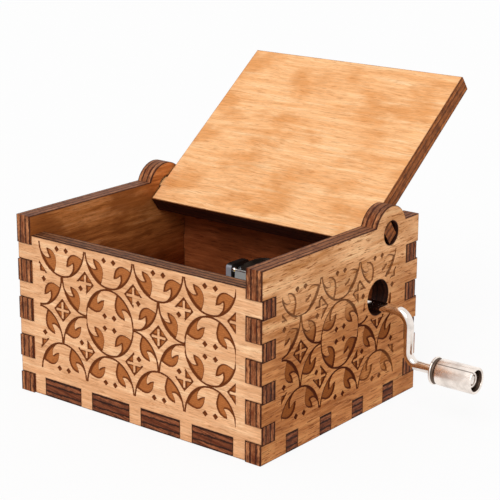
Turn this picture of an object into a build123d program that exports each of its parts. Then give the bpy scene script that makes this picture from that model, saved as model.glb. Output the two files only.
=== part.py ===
from build123d import *
from math import atan2, cos, degrees, pi, radians, sin, sqrt
import os

# Hand-cranked music box of laser-cut plywood, with an 18-note cylinder movement.
# Millimetres. The origin is the middle of the underside: +X is the crank side,
# -Y is the front, +Z is up. The lid stands fully open.

# ---- plywood case ----
case_width = 64.0
case_depth = 52.0
ply = 3.9
front_height = 34.3
lid_seat_gap = 0.1
kerf_gap = 0.05
proud_front = 0.3
proud_back = 0.5

# ---- finger joints of the upright corners ----
finger_count = 4
finger_height = 3.55
finger_base_gap = 0.2
finger_top_margin = 1.9

# ---- tabs of the bottom plate ----
long_tab_count = 4
long_tab_width = 9.9
long_tab_gap = 3.4
short_tab_count = 4
short_tab_width = 3.5
short_tab_gap = 7.55

# ---- lid and its pivots ----
hinge_setback = 5.9
ear_radius = 5.65
pivot_hole_radius = 2.48
pivot_clearance = 0.05
lid_side_gap = 0.2
lid_tail_gap = 0.35
lid_tab_recess = 0.3
open_stop_slack = 0.4

# ---- crank, knob and the hole that they come through ----
spindle_y = 12.0
spindle_z = 22.0
wire_radius = 1.0
running_gap = 0.05
press_gap = 0.01
crank_hole_radius = 3.65
crank_hole_rise = 1.74
arm_clear_of_wall = 6.6
crank_throw = 10.6
upper_bend_radius = 3.0
lower_bend_radius = 2.6
knob_start = 6.4
knob_length = 9.5
knob_radius = 2.7
knob_collar_radius = 2.85
knob_collar_length = 0.4
knob_groove_radius = 2.4
knob_groove_length = 0.8
knob_mouth_radius = 2.15
knob_mouth_depth = 1.5
knob_edge_round = 0.25
knob_end_float = 0.1
rivet_radius = 1.65
rivet_thickness = 0.6

# ---- worm drive ----
gear_module = 0.55
wheel_teeth = 20
wheel_width = 2.8
worm_pitch_radius = 2.2
worm_turns = 3
worm_shoulder = 0.6
thread_rise = 0.5
thread_depth = 0.62
thread_backlash = 0.16
pressure_angle = 20.0
worm_hub_radius = 1.7

# ---- cylinder and its arbor ----
cylinder_x = 2.4
cylinder_radius = 6.5
cylinder_wall = 0.6
track_count = 18
track_pitch = 1.03
cylinder_margin = 0.48
cylinder_shoulder_gap = 1.2
pin_size = 0.34
pin_rise = 0.25
beats_per_turn = 40
slow_waves = 3
quick_waves = 7
bass_beats = 4
bass_step = 7
cap_thickness = 1.2
cap_recess = 0.3
hub_radius = 2.1
arbor_radius = 1.2
end_float = 0.3

# ---- comb ----
comb_rise = 0.3
comb_base_thickness = 1.4
comb_base_depth = 6.8
tooth_thickness = 0.7
tooth_lift = 0.2
tooth_width = 0.74
tooth_tip_gap = 0.5
bass_tooth_length = 8.2
treble_tooth_length = 6.0
tip_length = 1.0
weight_count = 6
bass_weight_height = 2.4
treble_weight_height = 0.9
weight_length = 2.2
comb_screw_spacing = 12.4

# ---- bedplate ----
bed_thickness = 3.0
bed_left_margin = 0.5
bed_front_margin = 2.2
bed_back_margin = 1.3
ledge_end_margin = 0.9
ledge_setback = 0.4
tower_width = 5.2
tower_gap = 1.6
bearing_thickness = 2.3
bearing_half_width = 4.4
bed_round = 0.8

# ---- worm bracket, guard plates and rear bearing plate ----
bracket_sheet = 1.0
cheek_thickness = 1.4
cheek_top_margin = 2.5
cheek_corner = 0.9
cheek_gap = 0.3
left_cheek_offset = 6.0
right_cheek_offset = 7.2
wheel_window_gap = 0.7
bracket_half_depth = 3.1
flange_above_wheel_axis = 3.0
guard_sheet = 0.6
guard_left_offset = 4.0
guard_strip_height = 1.7
shield_top_margin = 2.2
hood_half_width = 6.4
hood_spring_margin = 2.9
hood_arch_rise = 2.6
hood_offset = 3.6
hood_rim_depth = 1.0
guard_foot_height = 3.4
guard_screw_drop = 1.9
rear_plate_thickness = 1.2
rear_plate_base_gap = 1.0
clip_radius = 1.9
clip_thickness = 0.5

# ---- screws ----
screw_radius = 1.2
screw_head_radius = 2.2
screw_head_height = 1.4
slot_width = 0.5
slot_depth = 0.55
small_screw_radius = 0.8
small_head_radius = 1.4
small_head_height = 0.8
small_screw_length = 3.0
floor_screw_radius = 1.25
floor_head_radius = 2.5
floor_head_recess = 0.25
floor_screw_bite = 2.2
floor_screw_inset = 3.2

# ---- derived places ----
half_width = case_width / 2
half_depth = case_depth / 2
inner_half_width = half_width - ply
inner_half_depth = half_depth - ply
side_height = front_height + lid_seat_gap + ply
pivot_y = inner_half_depth - hinge_setback
pivot_z = front_height + lid_seat_gap + ply / 2
finger_base = ply + finger_base_gap
finger_run = front_height - finger_top_margin - finger_height - finger_base
finger_pitch = finger_run / (finger_count - 1)
cylinder_z = spindle_z - worm_pitch_radius - gear_module * wheel_teeth / 2
wheel_pitch_radius = gear_module * wheel_teeth / 2
wheel_outer_radius = wheel_pitch_radius + thread_rise
cylinder_length = track_count * track_pitch + 2 * cylinder_margin
bracket_front = spindle_y - bracket_half_depth
bracket_back = spindle_y + bracket_half_depth
guard_front = bracket_front - 2 * guard_sheet
cylinder_back = guard_front - cheek_gap
cylinder_front = cylinder_back - cylinder_length
cylinder_mid = (cylinder_front + cylinder_back) / 2
bearing_back = cylinder_front - cylinder_shoulder_gap - end_float
bearing_front = bearing_back - bearing_thickness
comb_z = cylinder_z + comb_rise
flange_z = cylinder_z + flange_above_wheel_axis
worm_lead = pi * gear_module


def finger_heights():
    """The middle height of every finger of the front and back walls."""
    first = finger_base + finger_height / 2
    return [first + i * finger_pitch for i in range(finger_count)]


def tab_places(count, width, gap):
    """Centres of equal tabs, spread evenly about the middle of an edge."""
    pitch = width + gap
    return [(i - (count - 1) / 2) * pitch for i in range(count)]


def save(block, name):
    """Label a finished sub-part and write it as its own file."""
    block.part.label = name
    export_step(block.part, f"parts/{name}.step")


os.makedirs("parts", exist_ok=True)
long_tabs = tab_places(long_tab_count, long_tab_width, long_tab_gap)
short_tabs = tab_places(short_tab_count, short_tab_width, short_tab_gap)


# ---- front and back walls: fingers at both ends, notches for the floor tabs ----
def end_wall(inner_plane, height, name):
    """A wall across the case, drawn on its inner face and extruded outwards."""
    with BuildPart() as wall:
        with BuildSketch(inner_plane):
            with Locations((0, height / 2)):
                Rectangle(2 * inner_half_width, height)
            with Locations(*[(0, z) for z in finger_heights()]):
                Rectangle(case_width, finger_height)
            with Locations(*[(x, ply / 2) for x in long_tabs]):
                notch = long_tab_width + 2 * kerf_gap
                Rectangle(notch, ply, mode=Mode.SUBTRACT)
        extrude(amount=ply)
    save(wall, name)
    return wall


front_plane = Plane.XZ.offset(inner_half_depth)
back_plane = Plane((0, inner_half_depth, 0), x_dir=(-1, 0, 0), z_dir=(0, 1, 0))
front_wall = end_wall(front_plane, front_height, "front_wall")
back_wall = end_wall(back_plane, side_height, "back_wall")


# ---- side walls: taller, each with a round ear that carries the lid ----
def side_wall(first_face, crank_hole, name):
    """A wall along the case, drawn in the YZ plane and extruded towards +X."""
    front_end = -half_depth - proud_front
    back_end = half_depth + proud_back
    with BuildPart() as wall:
        with BuildSketch(first_face):
            with Locations(((front_end + back_end) / 2, side_height / 2)):
                Rectangle(back_end - front_end, side_height)
            with Locations((pivot_y, pivot_z)):
                Circle(ear_radius)
                Circle(pivot_hole_radius, mode=Mode.SUBTRACT)
            slot = finger_height + 2 * kerf_gap
            with Locations(*[(front_end, z) for z in finger_heights()]):
                Rectangle(2 * (ply + proud_front), slot, mode=Mode.SUBTRACT)
            with Locations(*[(back_end, z) for z in finger_heights()]):
                Rectangle(2 * (ply + proud_back), slot, mode=Mode.SUBTRACT)
            with Locations(*[(y, ply / 2) for y in short_tabs]):
                notch = short_tab_width + 2 * kerf_gap
                Rectangle(notch, ply, mode=Mode.SUBTRACT)
            if crank_hole:
                with Locations((spindle_y, spindle_z + crank_hole_rise)):
                    Circle(crank_hole_radius, mode=Mode.SUBTRACT)
        extrude(amount=ply)
    save(wall, name)
    return wall


left_wall = side_wall(Plane.YZ.offset(-half_width), False, "left_wall")
right_wall = side_wall(Plane.YZ.offset(inner_half_width), True, "right_wall")

# ---- bedplate outline, which the floor screws follow ----
tip_rise = comb_rise + tooth_lift + tooth_thickness / 2
tip_x = cylinder_x - sqrt((cylinder_radius + tooth_tip_gap) ** 2 - tip_rise**2)
comb_root_x = tip_x - bass_tooth_length
comb_back_x = comb_root_x - comb_base_depth
bed_left = comb_back_x - bed_left_margin
right_tower_inner = cylinder_x + wheel_outer_radius + tower_gap
left_tower_inner = cylinder_x - wheel_outer_radius - tower_gap
right_tower_outer = right_tower_inner + tower_width
left_tower_outer = left_tower_inner - tower_width
bed_right = right_tower_outer
bed_front = bearing_front - bed_front_margin
bed_back = bracket_back + rear_plate_thickness + bed_back_margin
bed_top = ply + bed_thickness
floor_screws = [
    (bed_left + floor_screw_inset, bed_front + floor_screw_inset),
    (bed_left + floor_screw_inset, bed_back - floor_screw_inset),
    (bed_right - floor_screw_inset, bed_front + floor_screw_inset),
]

# ---- bottom plate: tabs through all four walls, sunk holes for three screws ----
with BuildPart() as bottom_plate:
    with BuildSketch():
        Rectangle(2 * inner_half_width, 2 * inner_half_depth)
        with Locations(*[(x, 0) for x in long_tabs]):
            Rectangle(long_tab_width, case_depth)
        with Locations(*[(0, y) for y in short_tabs]):
            Rectangle(case_width, short_tab_width)
    extrude(amount=ply)
    with Locations(*[Location((x, y, 0), (180, 0, 0)) for x, y in floor_screws]):
        CounterSinkHole(
            floor_screw_radius + press_gap,
            floor_head_radius + floor_head_recess + press_gap,
            depth=ply,
            counter_sink_angle=90,
        )
save(bottom_plate, "bottom_plate")

# ---- lid: one panel with a square pivot tab at each side ----
open_stop_angle = 2 * degrees(atan2(hinge_setback, ply / 2))
open_angle = open_stop_angle - open_stop_slack
lid_normal = (0, sin(radians(open_angle)), cos(radians(open_angle)))
lid_tail = sqrt((hinge_setback - lid_tail_gap) ** 2 - (ply / 2) ** 2)
lid_reach = half_depth + pivot_y
pivot_tab_reach = 2 * (pivot_hole_radius - pivot_clearance)
pivot_tab_width = sqrt(pivot_tab_reach**2 - ply**2)
lid_width = 2 * (inner_half_width - lid_side_gap)
lid_plane = Plane((0, pivot_y, pivot_z), x_dir=(1, 0, 0), z_dir=lid_normal)
with BuildPart() as lid:
    with BuildSketch(lid_plane.offset(-ply / 2)):
        with Locations((0, (lid_tail - lid_reach) / 2)):
            Rectangle(lid_width, lid_reach + lid_tail)
        Rectangle(case_width - 2 * lid_tab_recess, pivot_tab_width)
    extrude(amount=ply)
save(lid, "lid")

# ---- bedplate: cast slab with comb ledge, front bearing and two rear towers ----
comb_half_width = track_count * track_pitch / 2 + ledge_end_margin
tower_mid_y = (bracket_front + bracket_back) / 2
comb_screw_x = comb_root_x - comb_base_depth / 2
comb_screw_ys = [cylinder_mid + side * comb_screw_spacing / 2 for side in (-1, 1)]
guard_screw_z = flange_z - guard_screw_drop
small_screw_bite = small_screw_length - rear_plate_thickness
tower_middles = [
    (left_tower_inner + left_tower_outer) / 2,
    (right_tower_inner + right_tower_outer) / 2,
]
with BuildPart() as bedplate:
    with BuildSketch(Plane.XY.offset(ply)):
        with Locations(((bed_left + bed_right) / 2, (bed_front + bed_back) / 2)):
            RectangleRounded(bed_right - bed_left, bed_back - bed_front, 2 * bed_round)
    extrude(amount=bed_thickness)
    with BuildSketch(Plane.XY.offset(bed_top)):
        ledge_depth = comb_root_x - ledge_setback - bed_left
        with Locations((bed_left + ledge_depth / 2, cylinder_mid)):
            Rectangle(ledge_depth, 2 * comb_half_width)
    extrude(amount=comb_z - bed_top)
    with BuildSketch(Plane.XY.offset(bed_top)):
        with Locations(*[(x, tower_mid_y) for x in tower_middles]):
            Rectangle(tower_width, 2 * bracket_half_depth)
    extrude(amount=flange_z - bed_top)
    with BuildSketch(Plane.XZ.offset(-bearing_back)):
        with Locations((cylinder_x, (bed_top + cylinder_z) / 2)):
            Rectangle(2 * bearing_half_width, cylinder_z - bed_top)
        with Locations((cylinder_x, cylinder_z)):
            Circle(bearing_half_width)
    extrude(amount=bearing_thickness)
    with BuildSketch(Plane.XZ.offset(-bearing_back - end_float)):
        with Locations((cylinder_x, cylinder_z)):
            Circle(arbor_radius + running_gap)
    extrude(amount=2 * bearing_thickness, mode=Mode.SUBTRACT)
    with Locations(*[(comb_screw_x, y, comb_z) for y in comb_screw_ys]):
        Hole(screw_radius + press_gap, depth=screw_head_height * 4)
    with Locations(*[Location((x, y, ply), (180, 0, 0)) for x, y in floor_screws]):
        Hole(floor_screw_radius + press_gap, depth=floor_screw_bite + press_gap)
    for screw_y, turn in ((bracket_front, 90), (bracket_back, -90)):
        holes = [Location((x, screw_y, guard_screw_z), (turn, 0, 0)) for x in tower_middles]
        with Locations(*holes):
            Hole(small_screw_radius + press_gap, depth=small_screw_bite + press_gap)
    with Locations(*[(x, tower_mid_y, flange_z) for x in tower_middles]):
        top_bite = small_screw_length - bracket_sheet
        Hole(small_screw_radius + press_gap, depth=top_bite + press_gap)
save(bedplate, "bedplate")

# ---- rear bearing plate: carries the back end of the arbor, behind the towers ----
bed_span = right_tower_outer - left_tower_outer
bed_middle = (right_tower_outer + left_tower_outer) / 2
rear_plate_base = bed_top + rear_plate_base_gap
with BuildPart() as rear_bearing:
    with BuildSketch(Plane.XZ.offset(-bracket_back - rear_plate_thickness)):
        with Locations((bed_middle, (rear_plate_base + flange_z) / 2)):
            RectangleRounded(bed_span, flange_z - rear_plate_base, bed_round)
        with Locations((cylinder_x, cylinder_z)):
            Circle(arbor_radius + running_gap, mode=Mode.SUBTRACT)
        with Locations(*[(x, guard_screw_z) for x in tower_middles]):
            Circle(small_screw_radius + press_gap, mode=Mode.SUBTRACT)
    extrude(amount=rear_plate_thickness)
save(rear_bearing, "rear_bearing")

# ---- comb: one steel plate, slit into teeth that shorten towards the treble ----
tip_z = cylinder_z + tip_rise
tooth_under = comb_z + tooth_lift
tooth_over = tooth_under + tooth_thickness
comb_over = comb_z + comb_base_thickness
blunt_x = tip_x - tip_length
comb_length = track_count * track_pitch
length_step = (bass_tooth_length - treble_tooth_length) / track_count
with BuildPart() as comb:
    with BuildSketch(Plane.XZ.offset(-cylinder_mid - comb_length / 2)):
        with BuildLine():
            Polyline(
                (comb_back_x, comb_z),
                (comb_root_x, comb_z),
                (comb_root_x + tooth_lift, tooth_under),
                (blunt_x, tooth_under),
                (tip_x, tip_z),
                (blunt_x, tooth_over),
                (comb_root_x + comb_base_thickness, tooth_over),
                (comb_root_x, comb_over),
                (comb_back_x, comb_over),
                close=True,
            )
        make_face()
    extrude(amount=comb_length)
    with BuildSketch(Plane.XY.offset(comb_z)):
        for i in range(track_count + 1):
            slit_y = cylinder_mid + (i - track_count / 2) * track_pitch
            slit_length = bass_tooth_length - i * length_step
            with Locations((tip_x - slit_length / 2, slit_y)):
                Rectangle(slit_length, track_pitch - tooth_width)
    extrude(amount=comb_base_thickness, mode=Mode.SUBTRACT)
    with Locations(*[(comb_screw_x, y, comb_over) for y in comb_screw_ys]):
        Hole(screw_radius + press_gap, depth=comb_base_thickness)
save(comb, "comb")

# ---- lead weights soldered under the longest teeth ----
weight_step = (bass_weight_height - treble_weight_height) / (weight_count - 1)
with BuildPart() as comb_weights:
    for i in range(weight_count):
        weight_height = bass_weight_height - i * weight_step
        weight_y = cylinder_mid + (i + (1 - track_count) / 2) * track_pitch
        with Locations((blunt_x - tooth_lift, weight_y, tooth_under)):
            Box(
                weight_length,
                tooth_width,
                weight_height,
                align=(Align.MAX, Align.CENTER, Align.MAX),
            )
save(comb_weights, "comb_weights")


# ---- screws ----
def slotted_screw(place, shank_radius, shank_length, head_radius, head_height):
    """A cheese-head screw along the local Z of its place, slotted, head upwards."""
    with Locations(place):
        Cylinder(
            head_radius,
            head_height,
            align=(Align.CENTER, Align.CENTER, Align.MIN),
        )
        Cylinder(
            shank_radius,
            shank_length,
            align=(Align.CENTER, Align.CENTER, Align.MAX),
        )
    with Locations(place * Location((0, 0, head_height))):
        Box(
            2 * head_radius,
            slot_width,
            slot_depth,
            align=(Align.CENTER, Align.CENTER, Align.MAX),
            mode=Mode.SUBTRACT,
        )


def small_screws(block_name, places):
    """A group of equal small screws, written as one node."""
    with BuildPart() as screws:
        for place in places:
            slotted_screw(
                place,
                small_screw_radius,
                small_screw_length,
                small_head_radius,
                small_head_height,
            )
    save(screws, block_name)
    return screws


with BuildPart() as comb_screws:
    for screw_y in comb_screw_ys:
        slotted_screw(
            Location((comb_screw_x, screw_y, comb_over)),
            screw_radius,
            comb_base_thickness + 3 * screw_head_height,
            screw_head_radius,
            screw_head_height,
        )
save(comb_screws, "comb_screws")

flange_top = flange_z + bracket_sheet
bracket_screws = small_screws(
    "bracket_screws",
    [Location((x, tower_mid_y, flange_top)) for x in tower_middles],
)
guard_screws = small_screws(
    "guard_screws",
    [Location((x, guard_front, guard_screw_z), (90, 0, 0)) for x in tower_middles],
)
rear_plate_back = bracket_back + rear_plate_thickness
bearing_screws = small_screws(
    "bearing_screws",
    [Location((x, rear_plate_back, guard_screw_z), (-90, 0, 0)) for x in tower_middles],
)

with BuildPart() as mounting_screws:
    for x, y in floor_screws:
        with Locations((x, y, floor_head_recess)):
            Cone(
                floor_head_radius,
                floor_screw_radius,
                floor_head_radius - floor_screw_radius,
                align=(Align.CENTER, Align.CENTER, Align.MIN),
            )
            Cylinder(
                floor_screw_radius,
                ply + floor_screw_bite - floor_head_recess,
                align=(Align.CENTER, Align.CENTER, Align.MIN),
            )
save(mounting_screws, "mounting_screws")

# ---- worm bracket: folded strip with two cheeks that carry the spindle ----
left_cheek_inner = cylinder_x - left_cheek_offset
right_cheek_inner = cylinder_x + right_cheek_offset
cheek_top = spindle_z + cheek_top_margin
window_half = wheel_width / 2 + wheel_window_gap
with BuildPart() as worm_bracket:
    with BuildSketch(Plane.XY.offset(flange_z)):
        with Locations((bed_middle, tower_mid_y)):
            Rectangle(bed_span, 2 * bracket_half_depth)
        with Locations(((left_cheek_inner + right_cheek_inner) / 2, tower_mid_y)):
            Rectangle(
                right_cheek_inner - left_cheek_inner,
                2 * window_half,
                mode=Mode.SUBTRACT,
            )
        with Locations(*[(x, tower_mid_y) for x in tower_middles]):
            Circle(small_screw_radius + press_gap, mode=Mode.SUBTRACT)
    extrude(amount=bracket_sheet)
    for cheek_x in (left_cheek_inner - cheek_thickness, right_cheek_inner):
        with BuildSketch(Plane.YZ.offset(cheek_x)) as cheek:
            with Locations((tower_mid_y, (flange_z + cheek_top) / 2)):
                Rectangle(2 * bracket_half_depth, cheek_top - flange_z)
            fillet(cheek.vertices().group_by(Axis.Z)[-1], radius=cheek_corner)
            with Locations((spindle_y, spindle_z)):
                Circle(wire_radius + running_gap, mode=Mode.SUBTRACT)
        extrude(amount=cheek_thickness)
save(worm_bracket, "worm_bracket")


# ---- guard plates in front of the worm: a low bright one, an arched dark one ----
def guard_feet():
    """The strip and two screwed feet that both guard plates share."""
    with Locations((bed_middle, flange_z + guard_strip_height / 2)):
        Rectangle(bed_span, guard_strip_height)
    for x in tower_middles:
        with Locations((x, flange_z - guard_foot_height / 2)):
            Rectangle(tower_width, guard_foot_height)
    with Locations(*[(x, guard_screw_z) for x in tower_middles]):
        Circle(small_screw_radius + press_gap, mode=Mode.SUBTRACT)


shield_left = cylinder_x - guard_left_offset
shield_top = spindle_z + shield_top_margin
shield_width = right_tower_outer - shield_left
with BuildPart() as worm_shield:
    with BuildSketch(Plane.XZ.offset(-guard_front - guard_sheet)) as outline:
        with Locations((shield_left + shield_width / 2, (flange_z + shield_top) / 2)):
            Rectangle(shield_width, shield_top - flange_z)
        fillet(outline.vertices().group_by(Axis.Z)[-1], radius=guard_sheet)
        guard_feet()
    extrude(amount=guard_sheet)
save(worm_shield, "worm_shield")

hood_x = cylinder_x + hood_offset
hood_spring = spindle_z + hood_spring_margin
hood_top = hood_spring + hood_arch_rise
arch_radius = (hood_half_width**2 + hood_arch_rise**2) / (2 * hood_arch_rise)
with BuildPart() as worm_hood:
    with BuildSketch(Plane.XZ.offset(-bracket_front)):
        with BuildLine():
            ThreePointArc(
                (hood_x - hood_half_width, hood_spring),
                (hood_x, hood_top),
                (hood_x + hood_half_width, hood_spring),
            )
            Polyline(
                (hood_x + hood_half_width, hood_spring),
                (hood_x + hood_half_width, flange_z),
                (hood_x - hood_half_width, flange_z),
                (hood_x - hood_half_width, hood_spring),
            )
        make_face()
        guard_feet()
    extrude(amount=guard_sheet)
    with BuildSketch(Plane.XZ.offset(-bracket_front - hood_rim_depth)):
        with Locations((hood_x, hood_top - arch_radius)):
            Circle(arch_radius)
            Circle(arch_radius - guard_sheet, mode=Mode.SUBTRACT)
        with Locations((hood_x, hood_spring)):
            Rectangle(
                2 * hood_half_width,
                2 * hood_arch_rise,
                align=(Align.CENTER, Align.MIN),
                mode=Mode.INTERSECT,
            )
    extrude(amount=hood_rim_depth)
save(worm_hood, "worm_hood")

# ---- pinned cylinder: a brass tube, one row of pins for each tooth of the comb ----
beat_angle = 360 / beats_per_turn


def tune():
    """Pairs of row and beat: a rising and falling melody over a slower bass."""
    swing = (track_count - 1) / 2
    notes = set()
    for beat in range(beats_per_turn):
        turn = 2 * pi * beat / beats_per_turn
        wave = sin(slow_waves * turn) + sin(quick_waves * turn)
        notes.add((round(swing + swing * wave / 2), beat))
        if beat % bass_beats == 0:
            notes.add((beat // bass_beats * bass_step % track_count, beat))
    return sorted(notes)


def pin_plane(row, beat):
    """Where a pin leaves the tube, with the local Z pointing straight out of it."""
    angle = radians((beat + 0.5) * beat_angle)
    out = (cos(angle), 0, sin(angle))
    place = (
        cylinder_x + cylinder_radius * out[0],
        cylinder_mid + (row + (1 - track_count) / 2) * track_pitch,
        cylinder_z + cylinder_radius * out[2],
    )
    return Plane(place, x_dir=(0, 1, 0), z_dir=out)


with BuildPart() as cylinder:
    with BuildSketch(Plane.XZ.offset(-cylinder_back)):
        with Locations((cylinder_x, cylinder_z)):
            Circle(cylinder_radius)
    extrude(amount=cylinder_length)
    with Locations(*[pin_plane(row, beat) for row, beat in tune()]):
        Box(pin_size, pin_size, 2 * pin_rise)
    with BuildSketch(Plane.XZ.offset(-cylinder_back)):
        with Locations((cylinder_x, cylinder_z)):
            Circle(cylinder_radius - cylinder_wall)
    extrude(amount=cylinder_length, mode=Mode.SUBTRACT)
save(cylinder, "cylinder")


def ring(start_y, end_y, outer_radius):
    """A ring about the arbor, from one place along it to another."""
    with BuildSketch(Plane.XZ.offset(-end_y)) as section:
        with Locations((cylinder_x, cylinder_z)):
            Circle(outer_radius)
            Circle(arbor_radius + press_gap, mode=Mode.SUBTRACT)
    extrude(section.sketch, amount=end_y - start_y)


cap_radius = cylinder_radius - cylinder_wall
front_cap_face = cylinder_front + cap_recess
rear_cap_face = cylinder_back - cap_recess
with BuildPart() as front_cap:
    ring(front_cap_face, front_cap_face + cap_thickness, cap_radius)
    ring(bearing_back + end_float, front_cap_face, hub_radius)
save(front_cap, "front_cap")

with BuildPart() as rear_cap:
    ring(rear_cap_face - cap_thickness, rear_cap_face, cap_radius)
save(rear_cap, "rear_cap")

arbor_front = bearing_front - end_float
arbor_back = rear_plate_back + end_float
with BuildPart() as arbor:
    with BuildSketch(Plane.XZ.offset(-arbor_back)):
        with Locations((cylinder_x, cylinder_z)):
            Circle(arbor_radius)
    extrude(amount=arbor_back - arbor_front)
save(arbor, "arbor")

# ---- worm wheel: slanted tooth gaps, one of them straight above the arbor ----
flank = sin(radians(pressure_angle)) / cos(radians(pressure_angle))
thread_half = worm_lead / 4 - thread_backlash / 2
gap_half = worm_lead / 4 + thread_backlash / 2
lead_angle = atan2(worm_lead, 2 * pi * worm_pitch_radius)
wheel_front = spindle_y - wheel_width / 2
wheel_back = spindle_y + wheel_width / 2
gap_plane = Plane(
    (cylinder_x, spindle_y, cylinder_z + wheel_pitch_radius),
    x_dir=(-cos(lead_angle), sin(lead_angle), 0),
    z_dir=(sin(lead_angle), cos(lead_angle), 0),
)
gap_mouth = 2 * thread_rise
with BuildPart() as tooth_gap:
    with BuildSketch(gap_plane):
        with BuildLine():
            Polyline(
                (-gap_half - gap_mouth * flank, gap_mouth),
                (-gap_half + thread_depth * flank, -thread_depth),
                (gap_half - thread_depth * flank, -thread_depth),
                (gap_half + gap_mouth * flank, gap_mouth),
                close=True,
            )
        make_face()
    extrude(amount=wheel_width, both=True)

arbor_axis = Axis((cylinder_x, spindle_y, cylinder_z), (0, 1, 0))
with BuildPart() as worm_wheel:
    ring(wheel_front, wheel_back, wheel_outer_radius)
    gap_turn = 360 / wheel_teeth
    gaps = [tooth_gap.part.rotate(arbor_axis, i * gap_turn) for i in range(wheel_teeth)]
    add(gaps, mode=Mode.SUBTRACT)
    ring(rear_cap_face, wheel_front, hub_radius)
    ring(wheel_back, bracket_back - end_float, hub_radius)
save(worm_wheel, "worm_wheel")

# ---- worm: one right-hand thread, cut so that it stands in the gap above the arbor ----
thread_length = worm_turns * worm_lead
thread_start = cylinder_x - thread_length / 2
thread_end = thread_start + thread_length
worm_left = left_cheek_inner + cheek_gap
worm_root_radius = worm_pitch_radius - thread_depth
worm_outer_radius = worm_pitch_radius + thread_rise


def spindle_rod(start_x, end_x, radius, mode=Mode.ADD):
    """A round length about the spindle, from one place along it to another."""
    with BuildSketch(Plane.YZ.offset(start_x)) as section:
        with Locations((spindle_y, spindle_z)):
            Circle(radius)
    extrude(section.sketch, amount=end_x - start_x, mode=mode)


with BuildPart() as worm:
    with BuildLine() as thread_line:
        Helix(
            worm_lead,
            thread_length,
            worm_pitch_radius,
            center=(thread_start, spindle_y, spindle_z),
            direction=(1, 0, 0),
        )
    thread_plane = Plane(
        thread_line.line @ 0,
        x_dir=(1, 0, 0),
        z_dir=thread_line.line % 0,
    )
    crest_half = thread_half - thread_rise * flank
    foot_depth = thread_depth + thread_rise / 4
    foot_half = thread_half + foot_depth * flank
    with BuildSketch(thread_plane):
        with BuildLine():
            Polyline(
                (-foot_half, -foot_depth),
                (foot_half, -foot_depth),
                (crest_half, thread_rise),
                (-crest_half, thread_rise),
                close=True,
            )
        make_face()
    sweep(path=thread_line.line, is_frenet=True)
    spindle_rod(thread_start, thread_end, worm_outer_radius, mode=Mode.INTERSECT)
    spindle_rod(worm_left, thread_end + worm_shoulder, worm_root_radius)
    spindle_rod(worm_left, thread_start, worm_hub_radius)
    spindle_rod(worm_left, thread_end + worm_shoulder, wire_radius + press_gap, Mode.SUBTRACT)
save(worm, "worm")

# ---- crank: one wire, from the left cheek out through the wall and down to the knob ----
clip_x = left_cheek_inner - cheek_thickness - press_gap - clip_thickness
wire_start = clip_x - 2 * press_gap - clip_thickness
arm_x = half_width + arm_clear_of_wall + wire_radius
knob_z = spindle_z - crank_throw
knob_left = arm_x + knob_start
knob_right = knob_left + knob_length
rivet_left = knob_right - knob_mouth_depth + knob_end_float
wire_end = rivet_left + rivet_thickness
with BuildPart() as crank:
    with BuildLine() as wire_line:
        FilletPolyline(
            (wire_start, spindle_y, spindle_z),
            (arm_x, spindle_y, spindle_z),
            (arm_x, spindle_y, knob_z),
            (wire_end, spindle_y, knob_z),
            radius=(upper_bend_radius, lower_bend_radius),
        )
    with BuildSketch(Plane(wire_line.line @ 0, z_dir=wire_line.line % 0)):
        Circle(wire_radius)
    sweep(path=wire_line.line)
save(crank, "crank")

with BuildPart() as spindle_clip:
    spindle_rod(clip_x, clip_x + clip_thickness, clip_radius)
    spindle_rod(clip_x, clip_x + clip_thickness, wire_radius + press_gap, Mode.SUBTRACT)
    with Locations((clip_x, spindle_y, spindle_z)):
        Box(
            2 * clip_thickness,
            wire_radius,
            2 * clip_radius,
            align=(Align.CENTER, Align.CENTER, Align.MAX),
            mode=Mode.SUBTRACT,
        )
save(spindle_clip, "spindle_clip")

# ---- knob: a turned sleeve that spins on the wire, held on by a riveted disc ----
knob_plane = Plane((knob_left, spindle_y, knob_z), x_dir=(1, 0, 0), z_dir=(0, -1, 0))
knob_axis = Axis((knob_left, spindle_y, knob_z), (1, 0, 0))
body_left = knob_collar_length + knob_groove_length
with BuildPart() as crank_knob:
    with BuildSketch(knob_plane):
        with BuildLine():
            Polyline(
                (0, wire_radius + running_gap),
                (0, knob_collar_radius),
                (knob_collar_length, knob_collar_radius),
                (knob_collar_length, knob_groove_radius),
                (body_left - knob_edge_round, knob_groove_radius),
                (body_left, knob_radius),
                (knob_length - knob_edge_round, knob_radius),
                (knob_length, knob_radius - knob_edge_round),
                (knob_length, knob_mouth_radius),
                (knob_length - knob_mouth_depth, knob_mouth_radius),
                (knob_length - knob_mouth_depth, wire_radius + running_gap),
                close=True,
            )
        make_face()
    revolve(axis=knob_axis)
save(crank_knob, "crank_knob")

with BuildPart() as knob_rivet:
    with BuildSketch(Plane((rivet_left, spindle_y, knob_z), z_dir=(1, 0, 0))):
        Circle(rivet_radius)
        Circle(wire_radius + press_gap, mode=Mode.SUBTRACT)
    extrude(amount=rivet_thickness)
save(knob_rivet, "knob_rivet")
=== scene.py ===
from math import cos, pi, radians, sin
import bpy
import numpy as np
from mathutils import Matrix, Vector
from mathutils.geometry import delaunay_2d_cdt


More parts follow.
